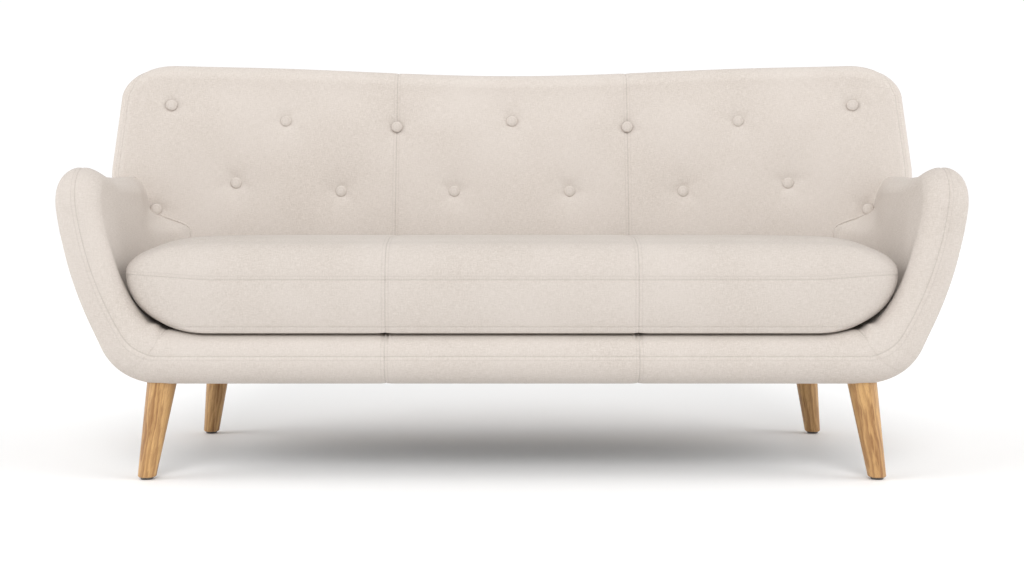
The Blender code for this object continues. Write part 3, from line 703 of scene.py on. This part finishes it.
def woven(name, light, dark, seams=(), pitch=YARN, painted_light_scale=1.0):
    """A plain weave of slubby two-tone yarn, stitched along the seams named, with shade painted darker into
    each seam's crease and along its stitch rows.
    """
    n = Nodes(name)
    # painted light and shade: the yarn's two colours scaled lighter or darker for each piece
    light, dark = tuple(c * painted_light_scale for c in light), tuple(c * painted_light_scale for c in dark)
    u, v = surface_coordinates(n)
    place = n.place()
    warp = n.math("SINE", n.math("MULTIPLY", u, math.pi / pitch))
    weft = n.math("SINE", n.math("MULTIPLY", v, math.pi / pitch))
    weave = n.math("ABSOLUTE", n.math("MULTIPLY", warp, weft))
    across = n.noise(n.point(n.math("MULTIPLY", u, 70.0), n.math("MULTIPLY", v, 900.0), 0.0), 1.0, 3.0)
    upright = n.noise(n.point(n.math("MULTIPLY", u, 900.0), n.math("MULTIPLY", v, 70.0), 5.0), 1.0, 3.0)
    fleck = n.noise(place, 330.0, 3.0, 0.6)
    cloud = n.noise(place, 5.0, 2.0)
    tone = n.math("ADD", n.math("MULTIPLY", across, 0.36), n.math("MULTIPLY", upright, 0.30))
    tone = n.math("ADD", tone, n.math("MULTIPLY", fleck, 0.34))
    tone = n.ramp(tone, 0.37, 0.63)
    tone = n.math("ADD", n.math("MULTIPLY", tone, 0.82), n.math("MULTIPLY", weave, 0.18))
    colour = n.mix(tone, dark, light)
    colour = n.mix(n.ramp(cloud, 0.3, 0.75), colour, n.mix(0.5, colour, tuple(c * 0.95 for c in light)))
    height = n.math("ADD", n.math("MULTIPLY", weave, 0.6), n.math("MULTIPLY", fleck, 0.7))
    along = n.math("MULTIPLY", n.math("ADD", u, v), 2 * math.pi / STITCH)
    for key, offsets, painted_seam_shade in seams:
        distance = n.attribute(key)
        line = n.math("SUBTRACT", 1.0, n.ramp(n.math("ABSOLUTE", distance), 0.0003, 0.0014))
        # painted shade: the seam's crease drawn darker in the colour, besides its real groove
        colour = n.mix(n.math("MULTIPLY", line, painted_seam_shade), colour, tuple(c * 0.45 for c in dark))
        height = n.math("SUBTRACT", height, n.math("MULTIPLY", line, 1.5))
        dash = n.ramp(n.math("SINE", along), -0.5, 0.2)
        for offset in offsets:
            from_thread = n.math("ABSOLUTE", n.math("SUBTRACT", distance, offset))
            thread = n.math("SUBTRACT", 1.0, n.ramp(from_thread, 0.0004, 0.0016))
            stitch = n.math("MULTIPLY", thread, dash)
            # painted shade: the whole stitch row drawn darker, as the shade in its sunk line
            colour = n.mix(n.math("MULTIPLY", thread, 0.16), colour, tuple(c * 0.6 for c in dark))
            colour = n.mix(n.math("MULTIPLY", stitch, 0.12), colour, tuple(c * 1.05 for c in light))
            height = n.math("ADD", height, n.math("MULTIPLY", n.math("SUBTRACT", stitch, thread), 0.9))
    n.shader.inputs["Sheen Weight"].default_value = 0.06
    n.shader.inputs["Sheen Roughness"].default_value = 0.45
    n.shader.inputs["Specular IOR Level"].default_value = 0.25
    rough = n.math("ADD", 0.82, n.math("MULTIPLY", fleck, 0.16))
    return n.finish(colour, rough, height, 0.35, 0.0007)


def oak(name, foot, top):
    """Oiled oak whose grain runs along a leg from its foot to its top."""
    n = Nodes(name)
    x, y, z = n.split(n.place())
    slope = (top - foot) / (top.z - foot.z)
    x = n.math("SUBTRACT", x, n.math("MULTIPLY", z, slope.x))
    y = n.math("SUBTRACT", y, n.math("MULTIPLY", z, slope.y))

    def grain(across, along):
        """A point squeezed across the leg and stretched along it."""
        parts = ((x, across), (y, across), (z, along))
        return n.point(*(n.math("MULTIPLY", part, scale) for part, scale in parts))

    bands = n.noise(grain(9.0, 1.1), 6.0, 4.0, 0.6)
    figure = n.noise(grain(30.0, 2.0), 6.0, 5.0, 0.65)
    rays = n.noise(grain(400.0, 16.0), 4.0, 2.0)
    pores = n.ramp(rays, 0.60, 0.72)
    rings = n.math("SINE", n.math("ADD", n.math("MULTIPLY", x, 520.0), n.math("MULTIPLY", bands, 26.0)))
    tone = n.math("ADD", n.math("MULTIPLY", n.ramp(bands, 0.3, 0.7), 0.4), n.math("MULTIPLY", figure, 0.4))
    tone = n.math("ADD", tone, n.math("MULTIPLY", n.ramp(rings, -1.0, 1.0), 0.25))
    colour = n.mix(n.ramp(tone, 0.28, 0.74), (0.27, 0.126, 0.038), (0.558, 0.330, 0.128))
    colour = n.mix(n.math("MULTIPLY", pores, 0.55), colour, (0.145, 0.062, 0.024))
    height = n.math("SUBTRACT", n.math("MULTIPLY", figure, 0.3), pores)
    rough = n.math("ADD", 0.36, n.math("MULTIPLY", figure, 0.18))
    n.shader.inputs["Coat Weight"].default_value = 0.12
    n.shader.inputs["Coat Roughness"].default_value = 0.3
    return n.finish(colour, rough, height, 0.25, 0.0004)


def grained(name, light, dark, axis, roughness):
    """Sawn timber or sanded plywood, with its grain along one axis."""
    n = Nodes(name)
    parts = list(n.split(n.place()))
    parts = [n.math("MULTIPLY", part, 3.0 if i == axis else 60.0) for i, part in enumerate(parts)]
    figure = n.noise(n.point(*parts), 3.0, 5.0, 0.6)
    fine = n.noise(n.point(*parts), 16.0, 2.0)
    tone = n.math("ADD", n.math("MULTIPLY", figure, 0.7), n.math("MULTIPLY", fine, 0.3))
    colour = n.mix(n.ramp(tone, 0.3, 0.7), dark, light)
    return n.finish(colour, n.math("ADD", roughness, n.math("MULTIPLY", fine, 0.1)), tone, 0.3, 0.0006)


def plain(name, light, dark, roughness, metallic=0.0, scale=260.0):
    """A moulded, metal or felted surface with a fine mottled finish."""
    n = Nodes(name)
    fleck = n.noise(n.place(), scale, 3.0, 0.6)
    colour = n.mix(n.ramp(fleck, 0.3, 0.7), dark, light)
    n.shader.inputs["Metallic"].default_value = metallic
    return n.finish(colour, n.math("ADD", roughness, n.math("MULTIPLY", fleck, 0.12)), fleck, 0.25, 0.0004)


def give(obj, surface):
    """Makes a material the only one of an object."""
    obj.data.materials.clear()
    obj.data.materials.append(surface)


def leg_oak(name, obj):
    """Oak for one leg, its grain along the line between the middles of the leg's two ends."""
    points = read_points(obj.data)
    heights = points[:, 2]
    foot, top = (points[np.abs(heights - level) < 0.003].mean(0) for level in (heights.min(), heights.max()))
    return oak(name + "_oak", Vector(foot), Vector(top))


def dress_nodes():
    """Gives each solid that stays in sight its own kind of surface."""
    timber = grained("timber_grain", (0.60, 0.43, 0.25), (0.42, 0.27, 0.13), 0, 0.6)
    ply = grained("ply_grain", (0.66, 0.50, 0.31), (0.48, 0.33, 0.18), 1, 0.55)
    webbing = woven("webbing_weave", (0.16, 0.14, 0.13), (0.05, 0.045, 0.04), pitch=0.003)
    dust = plain("dust_cloth", (0.035, 0.035, 0.035), (0.012, 0.012, 0.012), 0.85, scale=700.0)
    felt = woven("deck_cloth", (0.62, 0.56, 0.49), (0.42, 0.37, 0.31), pitch=0.0022)
    steel = plain("zinc_plate", (0.66, 0.66, 0.62), (0.50, 0.50, 0.46), 0.3, 1.0, 90.0)
    nylon = plain("glide_nylon", (0.10, 0.09, 0.08), (0.05, 0.045, 0.04), 0.4)
    kinds = (("glide_", nylon), ("bolt_", steel), ("arm_panel", ply), ("front_panel", ply),
             ("seat_webbing", webbing), ("back_webbing", webbing), ("dust_cover", dust), ("seat_deck", felt),
             ("", timber))
    for name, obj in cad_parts.items():
        if name.startswith("leg_"):
            give(obj, leg_oak(name, obj))
        else:
            give(obj, next(surface for start, surface in kinds if name.startswith(start)))


def button(name, surface):
    """A domed, fabric-covered button with a rounded edge, facing the way its CAD solid faces."""
    low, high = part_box(name)
    middle = (low + high) / 2
    step = 0.004
    rise = float(back_plane(middle.x + step, middle.z) - back_plane(middle.x - step, middle.z))
    verts = []
    for share, level in BUTTON_DOME:
        for angle in np.linspace(0, 2 * math.pi, BUTTON_SIDES, endpoint=False):
            reach = BUTTON_RADIUS * share
            verts.append((reach * math.cos(angle), reach * math.sin(angle), level))
    verts.append((0, 0, BUTTON_DOME[-1][1] + 0.0001))
    faces = ring_faces(len(BUTTON_DOME), BUTTON_SIDES)
    faces.append(tuple(range(BUTTON_SIDES))[::-1])
    last = (len(BUTTON_DOME) - 1) * BUTTON_SIDES
    faces += [(last + k, last + (k + 1) % BUTTON_SIDES, len(verts) - 1) for k in range(BUTTON_SIDES)]
    made = mesh_object(name + "_covered", np.array(verts), faces)
    made.rotation_euler = (math.pi / 2 - math.atan(BACK_SLOPE), 0.0, math.atan(rise / 2 / step))
    made.location = (middle.x, float(back_plane(middle.x, middle.z)) - BUTTON_SUNK, middle.z)
    give(made, surface)
    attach(made, "sofa")
    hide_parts(name)


def welt_line(side):
    """Where an arm meets the back: up from the seat, over the arm and a little way down outside."""
    end = TUB_END + ARM_HALF
    over = np.radians(np.linspace(90, -90, 31))
    route = [(t, over[0]) for t in np.linspace(WELT_FROM, end - ARM_HALF, 40)[:-1]]
    route += [(end - ARM_HALF * (1 - math.cos(turn)), turn) for turn in over]
    route += [(end - ARM_HALF - drop, over[-1]) for drop in np.linspace(0.01, WELT_DOWN, 8)]
    points = []
    for t, turn in route:
        y = 0.06
        for _ in range(5):
            x, _, z = arm_point(np.array([t]), np.array([y]), np.array([FRONT_Y]), turn, end)
            y = float(back_surface(x, z)[0])
        points.append((side * float(x[0]), y, float(z[0])))
    return np.array(points)


def arm_welt(side, name, surface):
    """A round welt sewn between an arm and the back."""
    points = welt_line(side)
    along = np.gradient(points, axis=0)
    along /= np.linalg.norm(along, axis=1, keepdims=True)
    first = np.cross(along, (0.0, 1.0, 0.0))
    first /= np.linalg.norm(first, axis=1, keepdims=True)
    second = np.cross(along, first)
    verts = []
    for place, a, b in zip(points, first, second):
        for angle in np.linspace(0, 2 * math.pi, WELT_SIDES, endpoint=False):
            verts.append(place + WELT * (math.cos(angle) * a + math.sin(angle) * b))
    faces = ring_faces(len(points), WELT_SIDES)
    faces += [tuple(range(WELT_SIDES))[::-1], tuple(range(len(verts) - WELT_SIDES, len(verts)))]
    made = mesh_object("arm_welt_" + name, np.array(verts), faces)
    give(made, surface)
    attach(made, "sofa")


def rear_cover(surface):
    """The closing panel behind, lightly padded, with rounded edges."""
    layers = []
    for turn in np.radians(np.linspace(0, 90, 7)):
        x, z = back_outline(REAR_COVER_INSET + 0.004 * (1 - math.cos(turn)), 90, 16, 6, 40)
        sides = BACK_HALF_X - REAR_COVER_INSET - np.abs(x)
        edge = np.minimum(sides, np.minimum(z - z[:, :1], z[:, -1:] - z))
        crown = 0.004 * smooth(edge, 0.0, 0.12)
        layers.append(np.stack([x, back_rear(z) - 0.002 + 0.005 * math.sin(turn) + crown, z], -1))
    made = shell("back_cover_panel", layers, {})
    give(made, surface)
    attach(made, "sofa")
    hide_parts("back_cover")


def upholster():
    """Every soft piece, each in place of its plain solid."""
    plain_weave = woven("upholstery_weave", CREAM, OATMEAL)
    tub_weave = woven("tub_upholstery", CREAM, OATMEAL, SEWN, painted_light_scale=TUB_PAINTED_SHADE)
    back_weave = woven("back_upholstery", CREAM, OATMEAL, SEWN, painted_light_scale=BACK_PAINTED_LIGHT)
    seat_weave = woven("seat_upholstery", CREAM, OATMEAL, SEWN, painted_light_scale=SEAT_PAINTED_SHADE)
    pieces = [(arm_pad(side, "arm_pad_" + name), "sofa", "arm_pad_" + name, 0.8, tub_weave)
              for name, side in (("left", -1), ("right", 1))]
    pieces.append((border_pad(), "sofa", "front_border", 0.85, tub_weave))
    pieces.append((back_pad(), "sofa", "back_pad", 0.75, back_weave))
    pieces.append((seat_cushion(), "seat_cushion", "seat_cushion_cover", 0.8, seat_weave))
    for obj, body, node, fill, weave in pieces:
        give(obj, weave)
        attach(obj, body)
        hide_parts(node)
    for name in BUTTONS:
        button(name, plain_weave)
    for name, side in (("left", -1), ("right", 1)):
        arm_welt(side, name, plain_weave)
    rear_cover(plain_weave)
    foam_core(plain("cushion_foam", (0.82, 0.76, 0.56), (0.66, 0.60, 0.42), 0.85, scale=420.0))


# ---------------------------------------------------------------- studio

class Sky(Nodes):
    """The same short calls for a world's node tree."""

    def __init__(self, name):
        self.world = bpy.data.worlds.new(name)
        self.world.use_nodes = True
        self.tree = self.world.node_tree
        self.shader = self.tree.nodes["Background"]


def daylight():
    """White studio walls: bright low down at both sides, weaker overhead and in front."""
    n = Sky("studio")
    x, y, z = n.split(n.tree.nodes.new("ShaderNodeTexCoord").outputs["Generated"])
    low = n.math("SUBTRACT", 1.0, n.math("MAXIMUM", z, 0.0))
    low = n.math("MULTIPLY", low, low)
    overhead = n.math("MULTIPLY", n.math("SUBTRACT", 1.0, low), SKY_ABOVE)
    sides = n.math("MULTIPLY", n.math("MULTIPLY", x, x), n.math("MULTIPLY", low, SKY_SIDES))
    behind = n.math("MULTIPLY", n.ramp(y, 0.35, 0.80), n.ramp(z, 0.60, 0.25))
    strength = n.math("MAXIMUM", n.math("ADD", overhead, sides), n.math("MULTIPLY", behind, SKY_BEHIND))
    n.shader.inputs["Color"].default_value = (1.0, 1.0, 1.0, 1.0)
    n.value(n.shader.inputs["Strength"], strength)
    return n.world


def softbox(name, around, height, size, power):
    """A distant soft light: its directions around and above the front, its width and its power."""
    lamp = bpy.data.lights.new(name, "SUN")
    lamp.energy, lamp.angle = power, math.radians(size)
    made = bpy.data.objects.new(name, lamp)
    made.rotation_euler = (math.radians(90.0 - height), 0.0, math.radians(around))
    bpy.context.collection.objects.link(made)


def studio():
    """A white floor, the sky and three distant softboxes."""
    n = Nodes("studio_floor")
    grain = n.noise(n.place(), 3.0, 3.0)
    colour = n.mix(grain, (0.99, 0.99, 0.99), (0.98, 0.98, 0.98))
    n.finish(colour, n.math("ADD", 0.6, n.math("MULTIPLY", grain, 0.1)))
    bm = bmesh.new()
    bmesh.ops.create_grid(bm, x_segments=8, y_segments=8, size=40.0)
    mesh = bpy.data.meshes.new("floor")
    bm.to_mesh(mesh)
    bm.free()
    floor = bpy.data.objects.new("floor", mesh)
    bpy.context.collection.objects.link(floor)
    floor.location.z = -0.0005
    give(floor, n.material)
    bpy.context.scene.world = daylight()
    softbox("front_light", 0.0, 36.0, 30.0, 1.42)
    for name, around in (("left_light", -76.0), ("right_light", 76.0)):
        softbox(name, around, 32.0, 40.0, 0.74)
    bpy.context.scene.view_settings.view_transform = "Standard"
    bpy.context.scene.view_settings.look = "None"


def camera():
    """A normal lens square in front of the sofa, shifted so that upright lines stay upright."""
    lens = bpy.data.cameras.new("camera")
    lens.lens, lens.sensor_width = 50.0, 36.0
    lens.shift_y = -0.066
    made = bpy.data.objects.new("camera", lens)
    made.location = (0.0, -3.28, 0.53)
    made.rotation_euler = (math.pi / 2, 0.0, 0.0)
    bpy.context.collection.objects.link(made)
    bpy.context.scene.camera = made


camera()
studio()
dress_nodes()
upholster()
